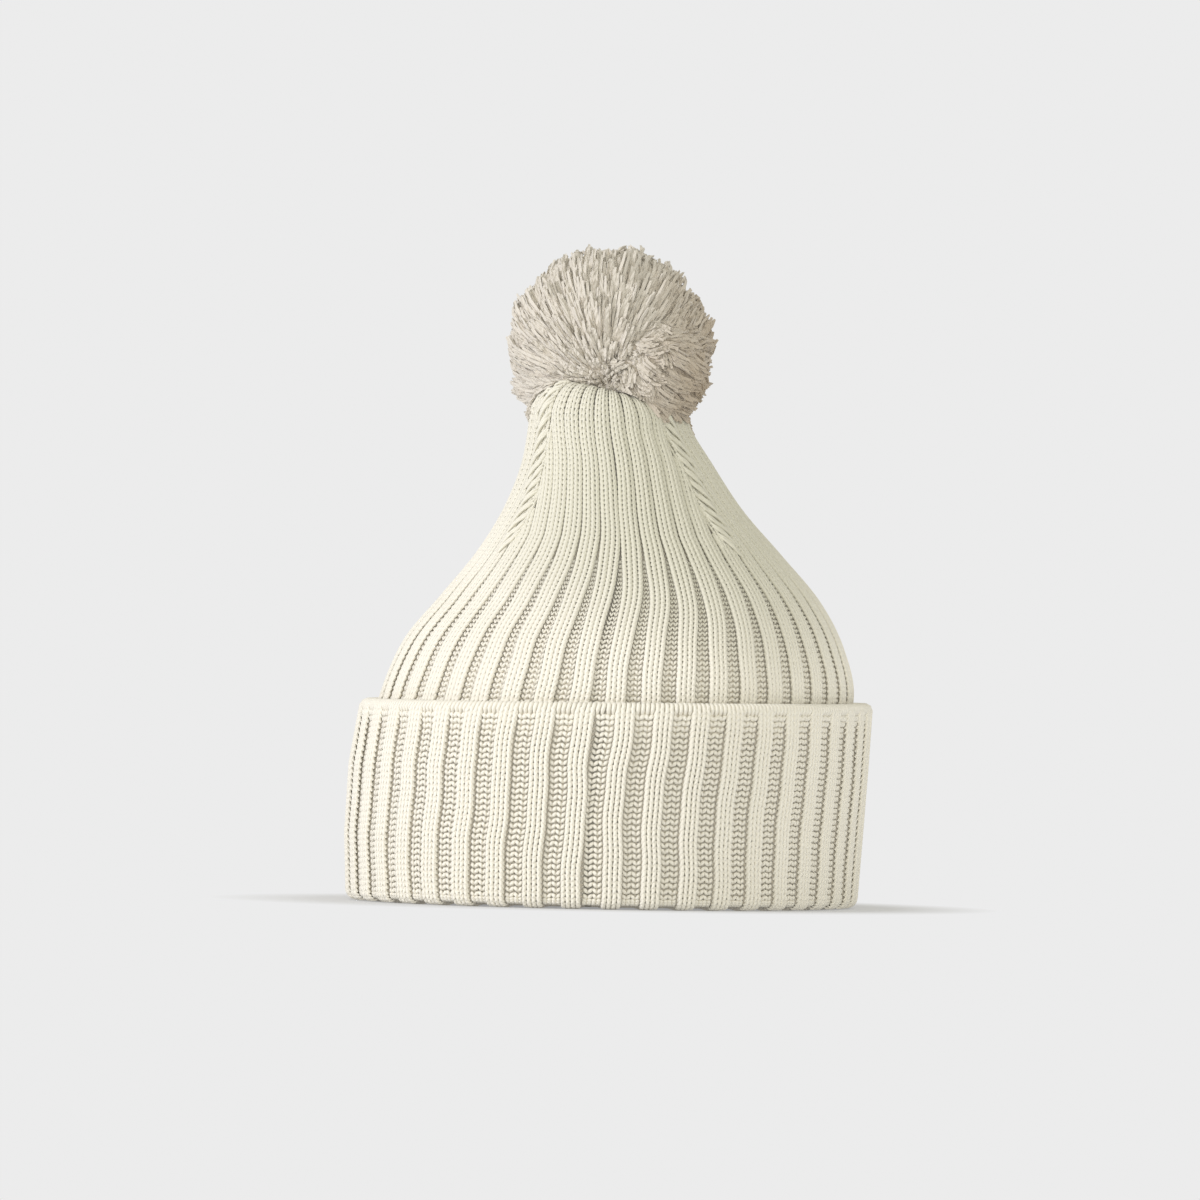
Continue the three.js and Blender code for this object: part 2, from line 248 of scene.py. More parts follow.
resting = [[0, 7.2], [0, 5.4], [0, 4.0]]  # the fold's underside lies flat
outer_wall = [[height, 0] for height in np.linspace(8, 60, OUTER_POINTS)]
inner_wall = [[height, BAND_WALL] for height in (56, 40, 24, 10)]
BAND_CUT = np.array(
    resting
    + arc(FOLD_RADIUS, FOLD_RADIUS, FOLD_RADIUS, -80, 0)
    + outer_wall
    + arc(BAND_HEIGHT - EDGE_RADIUS, EDGE_RADIUS, EDGE_RADIUS, 0, 180, 11)
    + inner_wall
    + arc(6.6, BAND_WALL + LAYER_GAP / 2, LAYER_GAP / 2, -180, -360, 5)
    + [[8, BAND_WALL + LAYER_GAP + 0.3], [8, FOLD_DEPTH]]
    + arc(FOLD_RADIUS, FOLD_DEPTH - FOLD_RADIUS, FOLD_RADIUS, 180, 260)
)
cut_steps = np.hypot(*np.diff(BAND_CUT, axis=0).T)
BAND_ALONG = np.concatenate([[0], np.cumsum(cut_steps)])
print(f"The cut through the band has {len(BAND_CUT)} points over {BAND_ALONG[-1]:.0f} mm")

# %% [markdown]
# The band answers the same question. Its ribs fade under the fold and stop below the smooth edge,
# and a short table of heights makes it lean with the hat and narrow at the brim.

# %% From a place in the band to a point in space
HEM_REACH, HEM_FADE = 9.5, 1.5  # how deep under the fold the ribs run, and over what they fade
HEM_SHARE, HEM_HEIGHT = 0.75, 3  # how deep the recesses are underneath, and where they are full
EDGE_PLAIN, EDGE_FADE = 2.6, 6  # how far below the edge the recesses end, and over what they fade
BAND_RELIEF, BAND_SWAY = 1.5, 0.035
EDGE_RISE, EDGE_TILT = 0.015, 0.009  # the edge stands a little high, and higher at the right
BAND_STEP = 0.6


def band_place(rib, along, out=0.0, follow=1.0):
    rib, along = np.broadcast_arrays(np.asarray(rib, float), np.asarray(along, float))
    height = np.interp(along, BAND_ALONG, BAND_CUT[:, 0])
    depth = np.interp(along, BAND_ALONG, BAND_CUT[:, 1])
    before = np.clip(along - BAND_STEP, 0, None)
    after = np.clip(along + BAND_STEP, None, BAND_ALONG[-1])
    rise, inwards = (
        np.interp(after, BAND_ALONG, column) - np.interp(before, BAND_ALONG, column)
        for column in BAND_CUT.T
    )
    length = np.hypot(rise, inwards) + TINY
    flat, up = rise / length, inwards / length
    fuller = HEM_SHARE + (1 - HEM_SHARE) * np.clip(height / HEM_HEIGHT, 0, 1)
    hem = np.clip((HEM_REACH - depth) / HEM_FADE, 0, 1) * fuller
    below_edge = np.clip((BAND_HEIGHT - EDGE_PLAIN - height) / EDGE_FADE, 0, 1)
    low = lowness(rib, BAND_RECESS) * hem * below_edge
    pushed = out - follow * BAND_RELIEF * low
    middle = np.interp(height, BAND_LEAN["height"], BAND_LEAN["x"])
    inset = np.interp(height, BAND_LEAN["height"], BAND_LEAN["narrower"]) + depth
    place = BAND_PHASE + rib + sway(rib, height, BAND_SWAY)
    mean_radius = (BAND_HALF_WIDTH + BAND_HALF_DEPTH) / 2
    angle = angle_of(place, np.zeros_like(height), BAND_SHEAR, mean_radius)
    x, y, out_x, out_y, _ = on_oval(BAND_HALF_WIDTH - inset, BAND_HALF_DEPTH - inset, angle)
    tilted = height * (EDGE_RISE + EDGE_TILT * x / BAND_HALF_WIDTH)
    point = np.stack(
        [middle + x + out_x * flat * pushed, y + out_y * flat * pushed, height + tilted + up * pushed],
        -1,
    )
    return point, np.stack([out_x * flat, out_y * flat, up], -1)


print(f"The band's front lies at y = {band_place(0.0, 40.0)[0][1]:.1f} mm")

# %% [markdown]
# ## Meshes from arrays
# Twenty thousand stitches are far too many for one object each. They are worked out together as
# arrays and become a few joined meshes, which load and render quickly. One helper turns points,
# faces and map coordinates into an object.

# %% A mesh from arrays
def make_piece(name, points, faces, material, uv=None, smooth=True):
    """faces is (count, 3 or 4), and uv gives each point's map coordinates."""
    mesh = bpy.data.meshes.new(name)
    corners = faces.shape[1]
    mesh.vertices.add(len(points))
    mesh.vertices.foreach_set("co", (points * MM).astype(np.float32).ravel())
    mesh.loops.add(faces.size)
    mesh.loops.foreach_set("vertex_index", faces.astype(np.int32).ravel())
    mesh.polygons.add(len(faces))
    mesh.polygons.foreach_set("loop_start", np.arange(0, faces.size, corners, dtype=np.int32))
    mesh.polygons.foreach_set("use_smooth", np.full(len(faces), smooth))
    mesh.update(calc_edges=True)
    if uv is not None:
        layer = mesh.uv_layers.new(name="KnitMap")
        layer.data.foreach_set("uv", uv[faces.ravel()].astype(np.float32).ravel())
    mesh.materials.append(material)
    piece = bpy.data.objects.new(name, mesh)
    bpy.context.collection.objects.link(piece)
    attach(piece, "root")
    print(f"{name}: {len(faces) * (corners - 2)} triangles")
    return piece


print("Pieces can be made from arrays of points and faces")

# %% [markdown]
# A body of knit is a tube: rings of points joined by squares. The faces depend only on how many
# rings and points there are, so one helper makes them for every skin and for the pompom's middle.

# %% A skin over a grid of points
def grid_faces(rows, columns):
    """Faces of a grid whose columns close on themselves."""
    row, column = np.meshgrid(np.arange(rows - 1), np.arange(columns), indexing="ij")
    after = (column + 1) % columns
    quads = [row * columns + column, row * columns + after, (row + 1) * columns + after]
    quads.append((row + 1) * columns + column)
    return np.stack(quads, -1).reshape(-1, 4)


print(f"Three rings of eight points are joined by {len(grid_faces(3, 8))} faces")

# %% [markdown]
# Yarn is round, so a stitch or a strand is a tube along a short curve. Curve objects with a bevel
# would do for a few. Here rings of points are set across all the curves of a piece at once.

# %% Tubes along many short curves at once
def tubes(centres, normals, radius, around, flat=1.0):
    """centres is (tubes, rings, 3). around holds the angles of a ring's points, from the side over
    the top to the other side. Returns points, faces and map coordinates."""
    count, rings, _ = centres.shape
    along = np.gradient(centres, axis=1)
    along /= np.linalg.norm(along, axis=-1, keepdims=True) + TINY
    side = np.cross(along, normals)
    side /= np.linalg.norm(side, axis=-1, keepdims=True) + TINY
    top = np.cross(side, along) * flat
    turn = np.radians(around)
    ring = (
        np.cos(turn)[:, None] * side[:, :, None, :] + np.sin(turn)[:, None] * top[:, :, None, :]
    )
    points = centres[:, :, None, :] + radius[:, :, None, None] * ring
    sides = len(around)
    k, a = np.meshgrid(np.arange(rings - 1), np.arange(sides), indexing="ij")
    b = (a + 1) % sides
    quads = np.stack([k * sides + a, (k + 1) * sides + a, (k + 1) * sides + b, k * sides + b], -1)
    quads = quads.reshape(-1, 4)
    if sides == 3:  # a free end shows, so it is closed
        cap = np.array([[0, 1, 2], [2, 1, 0]]) + [[0], [(rings - 1) * 3]]
        quads = np.concatenate([quads[:, [0, 1, 2]], quads[:, [0, 2, 3]], cap])
    faces = quads[None] + (np.arange(count) * rings * sides)[:, None, None]
    u = np.broadcast_to(np.array(around) / 360, (count, rings, sides))
    v = np.broadcast_to(np.linspace(0.001, 0.999, rings)[None, :, None], (count, rings, sides))
    v = v + (np.arange(count) % 7)[:, None, None]
    uv = np.stack([u, v], -1).reshape(-1, 2)
    return points.reshape(-1, 3), faces.reshape(-1, quads.shape[1]), uv


ARCH = [-20, 55, 125, 200]  # a ring's points, in degrees: an arch over the fabric, flat beneath
END = [0, 120, 240]  # a plainer ring for the pompom's yarn
print("A stitch's ring is an arch of four points")

# %% [markdown]
# ## Writing shaders as sums
# A material's colour and bump are sums over places on the surface, which Blender keeps as nodes.
# A small class wraps a socket, so that such a sum can be written as plain Python.

# %% A socket that can be added and multiplied
class Value:
    def __init__(self, tree, socket):
        self.tree, self.socket = tree, socket

    def math(self, operation, *others):
        node = self.tree.nodes.new("ShaderNodeMath")
        node.operation = operation
        for slot, other in zip(node.inputs, (self, *others)):
            if isinstance(other, Value):
                self.tree.links.new(other.socket, slot)
            else:
                slot.default_value = other
        return Value(self.tree, node.outputs[0])

    def __add__(self, other):
        return self.math("ADD", other)

    __radd__ = __add__

    def __mul__(self, other):
        return self.math("MULTIPLY", other)

    __rmul__ = __mul__

    def __sub__(self, other):
        return self.math("SUBTRACT", other)

    def __rsub__(self, other):
        return (self * -1.0) + other

    def __abs__(self):
        return self.math("ABSOLUTE")

    def fraction(self):
        return self.math("FRACT")

    def sine(self):
        return self.math("SINE")

    def clamped(self):
        return self.math("MAXIMUM", 0.0).math("MINIMUM", 1.0)


print("A socket can be added, multiplied and clamped")

# %% [markdown]
# Every material needs textures, mixes and a shader. A second class holds a node tree, and one
# method of it makes each node from its type, its settings and what goes into its sockets. All
# yarn is soft, with hardly a highlight.

# %% A material's notebook
SHEEN, SHEEN_ROUGHNESS, HIGHLIGHT = 0.25, 0.6, 0.25


class Finish:
    def __init__(self, owner):
        """owner is a material, or the world."""
        self.owner = owner
        owner.use_nodes = True
        self.tree = owner.node_tree
        self.tree.nodes.clear()

    def feed(self, socket, value):
        if isinstance(value, Value):
            self.tree.links.new(value.socket, socket)
        else:
            socket.default_value = value

    def node(self, kind, settings=None, **sockets):
        """Makes a node. settings are set first, then each named socket gets a value or a link."""
        node = self.tree.nodes.new(kind)
        for name, setting in (settings or {}).items():
            setattr(node, name, setting)
        for name, value in sockets.items():
            self.feed(node.inputs[name.replace("_", " ")], value)
        return node

    def output(self, node, name):
        return Value(self.tree, node.outputs[name])

    def mix(self, amount, low, high):
        """A colour between two others."""
        node = self.node("ShaderNodeMix", {"data_type": "RGBA"})
        colours = [s for s in node.inputs if s.type == "RGBA"]
        for socket, value in zip((node.inputs[0], *colours), (amount, low, high)):
            self.feed(socket, value)
        return Value(self.tree, next(s for s in node.outputs if s.type == "RGBA"))

    def noise(self, place, scale, detail=3.0, roughness=0.55):
        node = self.node(
            "ShaderNodeTexNoise", Vector=place, Scale=scale, Detail=detail, Roughness=roughness
        )
        return self.output(node, "Fac")

    def places(self):
        """Where a point is in the hat, then its map coordinates: round its yarn, and along it."""
        place = self.output(self.node("ShaderNodeTexCoord"), "Object")
        knit_map = self.output(self.node("ShaderNodeUVMap", {"uv_map": "KnitMap"}), "UV")
        split = self.node("ShaderNodeSeparateXYZ", Vector=knit_map)
        return place, self.output(split, "X"), self.output(split, "Y")

    def finish(self, colour, roughness, bump, strength, distance):
        shader = self.node("ShaderNodeBsdfPrincipled", Base_Color=colour, Roughness=roughness)
        shader.inputs["Sheen Weight"].default_value = SHEEN
        shader.inputs["Sheen Roughness"].default_value = SHEEN_ROUGHNESS
        shader.inputs["Specular IOR Level"].default_value = HIGHLIGHT
        relief = self.node("ShaderNodeBump", Height=bump, Strength=strength, Distance=distance)
        self.tree.links.new(relief.outputs[0], shader.inputs["Normal"])
        self.tree.links.new(shader.outputs[0], self.node("ShaderNodeOutputMaterial").inputs[0])
        return self.owner

    def join(self, share, low, high, output):
        """Mixes two shaders and sends them to the output."""
        mixed = self.node("ShaderNodeMixShader", Fac=share)
        self.tree.links.new(low.outputs[0], mixed.inputs[1])
        self.tree.links.new(high.outputs[0], mixed.inputs[2])
        self.tree.links.new(mixed.outputs[0], self.node(output).inputs[0])


print("Shader sums can be written as expressions")

# %% [markdown]
# ## The finishes
# The hat is one undyed cream yarn, so its life is in small things: each strand is twisted from
# plies, some stitches are a touch lighter, and the depths between stitches get painted shade, warm
# and dim, from the darker fabric beneath them. The yarn comes first, with its twist as a sine wave
# in its colour and its bump.

# %% The yarn
CREAM, WARM_CREAM = (0.85, 0.82, 0.735, 1), (0.80, 0.76, 0.65, 1)
# painted shade: a darker, greener cream mixed into the yarn at the front right of the neck
PAINTED_SHADE_CREAM, PAINTED_SHADE_SHARE = (0.57, 0.555, 0.435, 1), 0.75
PAINTED_SHADE_PLACE = (0.03, -0.03, 0.137)  # metres: the middle of a painted shade at the front right of the neck
PAINTED_SHADE_MIDDLE, PAINTED_SHADE_FALL = 1.15, 190.0  # the painted shade is full in its middle and fades outwards


def yarn_finish(name, light, dark, plies):
    sheet = Finish(bpy.data.materials.new(name))
    place, around, along = sheet.places()
    twist = ((around * 2.0 + along * plies) * (2 * np.pi)).sine()
    fluff = sheet.noise(place, 900.0, 2.0)
    patches = sheet.noise(place, 22.0, 4.0)
    tone = (patches * 0.7 + fluff * 0.6 + twist * 0.06 - 0.3).clamped()
    colour = sheet.mix(tone, dark, light)
    # painted shade: a round patch at the front right of the neck, strongest in its middle
    spot = sheet.node("ShaderNodeSeparateXYZ", Vector=place)
    aside, ahead, above = (sheet.output(spot, axis) - at for axis, at in zip("XYZ", PAINTED_SHADE_PLACE))
    distance = aside * aside + ahead * ahead + above * above
    near = (PAINTED_SHADE_MIDDLE - distance * PAINTED_SHADE_FALL).clamped()
    colour = sheet.mix(near * PAINTED_SHADE_SHARE, colour, PAINTED_SHADE_CREAM)
    return sheet.finish(colour, 0.88, bump=twist * 0.35 + fluff, strength=0.5, distance=0.0003)


knit_yarn = yarn_finish("cream_knit_yarn", CREAM, WARM_CREAM, 2.0)
print("Made the twisted cream yarn")

# %% [markdown]
# The fabric shows only in gaps and inside the hat, where modelled stitches would be wasted. Its
# knit is a pattern of two slanted legs a column, which drives both the colour and the bump. Its
# colour is painted shade: darker than the yarn, and darkest in the pattern's hollows.

# %% The fabric behind the stitches
# painted shade: the fabric is darker than the yarn, and its hollows darker still
FABRIC_LIGHT, FABRIC_PAINTED_SHADE = (0.80, 0.765, 0.67, 1), (0.60, 0.545, 0.44, 1)


def fabric_finish(name, light, hollow_shade):
    sheet = Finish(bpy.data.materials.new(name))
    place, wale, row = sheet.places()
    leg = abs(wale.fraction() - 0.5) * 2.0
    crossing = ((row + leg * 0.55) * (2 * np.pi)).sine() * 0.5 + 0.5
    ridge = (leg * np.pi).sine()
    height = crossing * ridge
    tone = (height * 0.7 + sheet.noise(place, 60.0) * 0.5 - 0.1).clamped()
    # painted shade: the pattern's low places take the darkest colour
    colour = sheet.mix(tone, hollow_shade, light)
    return sheet.finish(colour, 0.92, bump=height, strength=0.8, distance=0.0012)


knit_fabric = fabric_finish("cream_knit_fabric", FABRIC_LIGHT, FABRIC_PAINTED_SHADE)
print("Made the fabric with its own fine knit")

# %% [markdown]
# ## The fabric bodies
# Under the stitches lies a closed body of fabric with the hat's ribs pressed into it. It stops
# light from passing between the stitches and gives the inside of the hat a real wall.

# %% Laying a skin over the crown
ROW, COLUMNS = 1.85, 4  # a row of stitches is this high, and a rib and its recess have 4 columns
BED, CROWN_BED = 1.25, 0.88  # how far the fabric lies under the stitches' tops
INSIDE_DEPTH = WALL - 0.6
INSIDE_RELIEF = 0.3  # how much of the ribs shows inside
AROUND_RIB = 6  # points across a rib and its recess
rib_line = np.arange(RIBS * AROUND_RIB) / AROUND_RIB


def skin(rings, alongs):
    """Joins rings of points into one skin. Its map counts columns and rows of stitches."""
    maps = [
        np.stack([rib_line * COLUMNS, np.full_like(rib_line, along / ROW)], -1) for along in alongs
    ]
    return np.concatenate(rings), grid_faces(len(rings), len(rib_line)), np.concatenate(maps)


crown_top = CROWN_ALONG[-1]  # rows of points are sparse where the band hides the crown
crown_rows = np.concatenate([[0, 25, 48], np.linspace(54, 150, 26), np.linspace(153, crown_top, 26)])
inside_rows = np.concatenate([np.linspace(crown_top - 8, 60, 18), [40, 20, 0]])
rings = [crown_place(rib_line, along, -INSIDE_DEPTH, INSIDE_RELIEF)[0] for along in inside_rows]
rings += [crown_place(rib_line, along, -CROWN_BED)[0] for along in crown_rows]
points, faces, uv = skin(rings, [*inside_rows, *crown_rows])
crown_fabric = make_piece("crown_fabric", points, faces, knit_fabric, uv)
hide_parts("crown")

# %% [markdown]
# The band's skin follows its whole cut and closes under the fold. It lies deeper only where
# stitches cover it.

# %% Laying a skin over the band
UNDER_REACH, UNDER_FADE = 6.5, 2.5  # how deep under the fold stitches are laid
INSIDE_FROM, INSIDE_FADE = BAND_WALL + 1, 2  # the inner wall has none
rings = []
for along, depth in zip(BAND_ALONG, BAND_CUT[:, 1]):
    under = np.clip((UNDER_REACH - depth) / UNDER_FADE, 0, 1)
    outside = np.clip((INSIDE_FROM - depth) / INSIDE_FADE, 0, 1)
    rings.append(band_place(rib_line, along, -BED * under * outside)[0])
points, faces, uv = skin([*rings, rings[0]], [*BAND_ALONG, BAND_ALONG[-1]])
cuff_fabric = make_piece("cuff_fabric", points, faces, knit_fabric, uv)
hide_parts("cuff")

# %% [markdown]
# ## Knit stitches
# On a raised rib every stitch shows as two legs of a V. A leg is one short bowed length of yarn
# that rises out of the fabric and dives under the stitch beyond. A real loop of yarn for each
# stitch would need ten times the faces and show no more. Two short arches are enough.

# %% Legs on the raised ribs
LEG_SEGMENTS = 3
YARN_RADIUS = 0.8
PRESSED = 0.85  # a stitch's yarn is pressed a little flat
BOW_SHARE, BOW_START = 0.9, 0.05  # the part of a half wave that a leg bows by


def knit_legs(place, middles, alongs, wale_share, rib_width, opens_up=True, apart=0.0, raised=0.0,
              snug=1.0, spread=(0.12, 0.37), length=1.45, sunk=0.35, thickest=0.246, taper=0.66):
    """middles and alongs are the stitches' places: the middle of the wale, in ribs, and the place
    along the knit. wale_share, in ribs, and rib_width, in millimetres, give the wale's width.
    spread says how far from the middle a leg starts and ends, as a share of the wale."""
    s = np.linspace(0, 1, LEG_SEGMENTS + 1)
    side = np.tile([-1.0, 1.0], len(middles))[:, None]
    middle, start, share, width, apart, snug = (
        np.repeat(column + 0 * middles, 2)[:, None]
        for column in (middles, alongs, wale_share, rib_width, apart, snug)
    )
    radius = np.minimum(YARN_RADIUS, thickest * share * width) * snug
    across = spread[0] + (spread[1] - spread[0]) * (s if opens_up else 1 - s)
    rib = middle + side * (share * across + apart)
    along = start + length * ROW * (s - 0.5)
    bow = np.sin(np.pi * (s * BOW_SHARE + BOW_START))
    point, normal = place(rib, along, raised - radius * (PRESSED + sunk * (1 - bow)))
    return tubes(point, normal, radius * (taper + (1 - taper) * bow), ARCH, flat=PRESSED)


def make_stitches(name, made):
    points, faces, uv = made
    piece = make_piece(name, points, faces, knit_yarn, uv)


print(f"A knit stitch is two legs, and each leg has {LEG_SEGMENTS} segments")

# %% [markdown]
# Two columns of stitches lie side by side on every rib, and end where it ends. Each stitch is
# moved a little by chance, because rows are never quite even. A seed keeps that chance the same.

# %% Stitches over the crown
WALES_SHARE = 0.98  # the part of a raised rib that its two columns fill
UNEVEN, RECESS_UNEVEN = 0.25, 0.2  # millimetres that a stitch may lie off its row
DART_MARGIN = 0.04  # in ribs: how near to a line a stitch may lie


def scatter(count, seed):
    return np.random.default_rng(seed).random(count)


def crown_rib_width(along):
    """The width of a rib and its recess, in millimetres."""
    ended = ended_ribs(crown_value("height", along))
    return 2 * np.pi * crown_value("half", along) / (RIBS - 2 * ended * len(DARTS))


def crown_stitches(rows):
    """Each knit stitch of the crown in these rows."""
    ribs = np.arange(RIBS) + 0.5
    rib, row, side = np.meshgrid(ribs, rows, [-1.0, 1.0], indexing="ij")
    rib, row, side = rib.ravel(), row.ravel(), side.ravel()
    recess = crown_value("recess", row)
    share = (1 - recess) / 2 * WALES_SHARE
    middle = rib + side * share / 2
    ended = ended_ribs(crown_value("height", row))
    placed = CROWN_PHASE + crown_value("drift", row) + middle
    kept = ribs_from_dart(placed) > ended + DART_MARGIN * (ended > 0)
    jitter = (scatter(len(row), 3) - 0.5) * UNEVEN
    return middle[kept], (row + jitter)[kept], share[kept], crown_rib_width(row)[kept]


STITCH_FROM, STITCH_TO = 58.8, crown_top - 12.0
all_rows = np.arange(STITCH_FROM, STITCH_TO, ROW)
for number, rows in enumerate(np.array_split(all_rows, 3)):
    middle, row, share, rib_width = crown_stitches(rows)
    legs = knit_legs(
        crown_place, middle, row, share, rib_width, length=2.0, sunk=0.16, taper=0.84
    )
    make_stitches(f"crown_ribs_{number + 1}", legs)

# %% [markdown]
# Where ribs end, the real knit has a row of doubled stitches: each one lies over the rib that
# ends beside it. A column of stitches along each line covers the ends in the same way.

# %% Stitches along the four lines
LINES_FROM, LINES_TO = CROWN_ALONG[5] + 4, crown_top - 9  # along the knit, past the sixth section
LINE_WIDTH, LINE_RAISED = 2.4, 0.15


def line_middle(dart, along):
    """The rib that the middle of a decrease line has here."""
    return dart - CROWN_PHASE - crown_value("drift", along)


rows = np.arange(LINES_FROM, LINES_TO, ROW)
dart, row = (a.ravel() for a in np.meshgrid(DARTS, rows, indexing="ij"))
ended = ended_ribs(crown_value("height", row))
rib_width = crown_rib_width(row)
legs = knit_legs(
    crown_place, line_middle(dart, row), row, LINE_WIDTH / rib_width, rib_width,
    apart=ended, raised=LINE_RAISED,
)
make_stitches("crown_lines", legs)

# %% [markdown]
# On one side of a line the ribs run slantwise into it, and each end shows as a short double ridge.
# The ridges are the same arched tubes, laid one above the other up the line, on the side of it
# that faces away from the front.

# %% Ends of ribs beside the lines
END_EVERY, ENDS_STOP = 4.4, 12  # from one end to the next, and from the last to the top
END_FROM, END_LENGTH, END_RISE = 0.4, 5.6, 4.2  # across and along the knit, from the line outwards
END_LANES, LANE_APART = [-0.5, 0.5], 1.35
END_RADIUS, END_THINNEST, END_SINK, END_SWELL = 0.72, 0.55, 0.6, 0.95


def rib_ends():
    """Short ridges that slant up to each line."""
    steps = np.arange(LINES_FROM, crown_top - ENDS_STOP, END_EVERY)
    dart, row, lane = (
        a.ravel()[:, None] for a in np.meshgrid(DARTS, steps, END_LANES, indexing="ij")
    )
    side = np.where((dart > 0) & (dart < RIBS / 2), 1.0, -1.0)
    s = np.linspace(0, 1, 6)
    ended = ended_ribs(crown_value("height", row))
    reach = END_FROM + END_LENGTH * (1 - s)
    rib = line_middle(dart, row) + side * (ended + reach / crown_rib_width(row))
    along = row + END_RISE * (s - 0.5) * 2 + LANE_APART * lane
    bow = np.sin(np.pi * (0.1 + 0.8 * s)) ** 0.7
    radius = END_RADIUS * (END_THINNEST + 0.45 * bow)
    point, normal = crown_place(rib, along, END_SWELL * bow - END_SINK)
    return tubes(point, normal, radius + 0 * rib, ARCH, flat=0.9)


make_stitches("crown_rib_ends", rib_ends())

# %% [markdown]
# The band is turned up, so its stitches stand the other way and their legs close upwards. Near
# the smooth edge the yarn grows a little thicker, because the knit is less stretched there.

# %% Stitches over the band
WALL_START = BAND_ALONG[len(resting) - 1] + 1.2
WALL_END = BAND_ALONG[len(resting) + FOLD_POINTS + OUTER_POINTS - 1] + 3.6
EDGE_GROWTH = 7  # millimetres over which the yarn grows thicker
BAND_RIB_WIDTH = 2 * np.pi * (BAND_HALF_WIDTH + BAND_HALF_DEPTH) / 2 / RIBS


def growing(along, by, before_end):
    """1 on the band's wall, and more by a share near its edge."""
    return 1 + by * np.clip((along - WALL_END + before_end) / EDGE_GROWTH, 0, 1)


band_ribs = np.arange(RIBS) + 0.5
rows = np.arange(WALL_START, WALL_END, ROW)
rib, row, side = (a.ravel() for a in np.meshgrid(band_ribs, rows, [-1.0, 1.0], indexing="ij"))
share = np.full(len(row), (1 - BAND_RECESS) / 2 * WALES_SHARE)
row = row + (scatter(len(row), 5) - 0.5) * UNEVEN
legs = knit_legs(
    band_place, rib + side * share / 2, row, share, BAND_RIB_WIDTH, opens_up=False, length=1.6,
    sunk=0.5, snug=growing(row, 0.2, 7),
)
make_stitches("cuff_ribs", legs)

# %% [markdown]
# ## Stitches in the recesses
# The knit relaxes in a recess, so its stitches lie wide open: their legs slant across the wale,
# touch in their middles and leave a small hole at each end. That is the lattice of dark dots
# between the ribs. Painted dots would look flat when the hat is turned.

# %% Legs in the recesses
RECESSES_END = 116.0  # along the crown's knit: above it the recesses are too narrow to show


def open_stitches(place, rows, recess, rib_width, snug=1.0):
    """rows and recess are (count,): each row has two open stitches in every recess."""
    rib, side, number = (
        a.ravel()
        for a in np.meshgrid(np.arange(RIBS), [-1.0, 1.0], np.arange(len(rows)), indexing="ij")
    )
    row = rows[number] + (scatter(len(number), 7) - 0.5) * RECESS_UNEVEN
    share = recess[number] / 2
    return knit_legs(
        place, rib + side * share / 2, row, share, (rib_width + 0 * rows)[number],
        raised=0.1, snug=(snug + 0 * rows)[number], spread=(0.03, 0.47), length=0.8,
        sunk=1.0, thickest=0.265, taper=0.34,
    )


rows = np.arange(STITCH_FROM, RECESSES_END, ROW)
recess, rib_width = crown_value("recess", rows), crown_rib_width(rows)
make_stitches("crown_recesses", open_stitches(crown_place, rows, recess, rib_width))

rows = np.arange(WALL_START, WALL_END - 1, ROW)
recess = np.full(len(rows), BAND_RECESS)
legs = open_stitches(band_place, rows, recess, BAND_RIB_WIDTH, growing(rows, 0.25, 9))
make_stitches("cuff_recesses", legs)

# %% [markdown]
# ## The smooth edge of the band
# The band's upper edge is cast on as a tube, so it is smooth: the ribs run over it as plain long
# strands with no holes. Each strand is one longer arch over the edge.

# %% Strands over the edge
STRANDS_A_RIB = 8
EDGE_FROM, EDGE_LENGTH = WALL_END - 1.6, 10.0
EDGE_STRAND = table(
    "share radius sunk",
    [[0, 0.3, 1.6], [0.07, 0.62, 1.25], [0.18, 0.9, 1.1], [0.38, 0.95, 1.1]]
    + [[0.58, 0.95, 1.1], [0.78, 0.95, 1.2], [1, 0.9, 1.6]],
)


def edge_strands():
    lanes = RIBS * STRANDS_A_RIB
    rib = (np.arange(lanes) + 0.5) / STRANDS_A_RIB
    along = EDGE_FROM + EDGE_LENGTH * EDGE_STRAND["share"][None, :] + 0 * rib[:, None]
    radius = EDGE_STRAND["radius"] + np.zeros((lanes, 1))
    point, normal = band_place(rib[:, None], along, -EDGE_STRAND["sunk"])
    return tubes(point, normal, radius, ARCH)


make_stitches("cuff_edge", edge_strands())

# %% [markdown]
# ## The pompom
# Yarn is wound, tied round its middle and cut, so that hundreds of ends spring out from one knot.
# Hair particles could grow them, but plain curved tubes keep their thickness and export as they
# are. Where the ball meets the knit, ends are pushed aside by it.

# %% Where yarn may go
POMPOM_CENTRE = np.array([-1.5, 12.0, 183.2])
POMPOM_RADIUS = 32.6
PARTING = np.array([-0.05, -0.9, -0.42])  # where the yarn parts and falls to both sides
TUFT_CENTRE = np.array([12.3, -7.5, 175.6])  # of the looser tuft that hangs over the front right
TUFT_RADIUS = 18.0
TOP_FROM, TOP_STEP = 118, 1.6  # the crown is looked at from here up, in steps
BATCH = 2000  # points that are compared with the crown at once
CLEAR_UNDER = 180  # a height above which nothing can touch the crown


def ball_directions(count):
    """Even directions over a ball, along a spiral."""
    number = np.arange(count) + 0.5
    height = 1 - 2 * number / count
    turn = np.pi * (1 + 5**0.5) * number
    flat = np.sqrt(1 - height**2)
    return np.stack([flat * np.cos(turn), flat * np.sin(turn), height], -1)


def unit(vectors):
    return vectors / (np.linalg.norm(vectors, axis=-1, keepdims=True) + TINY)


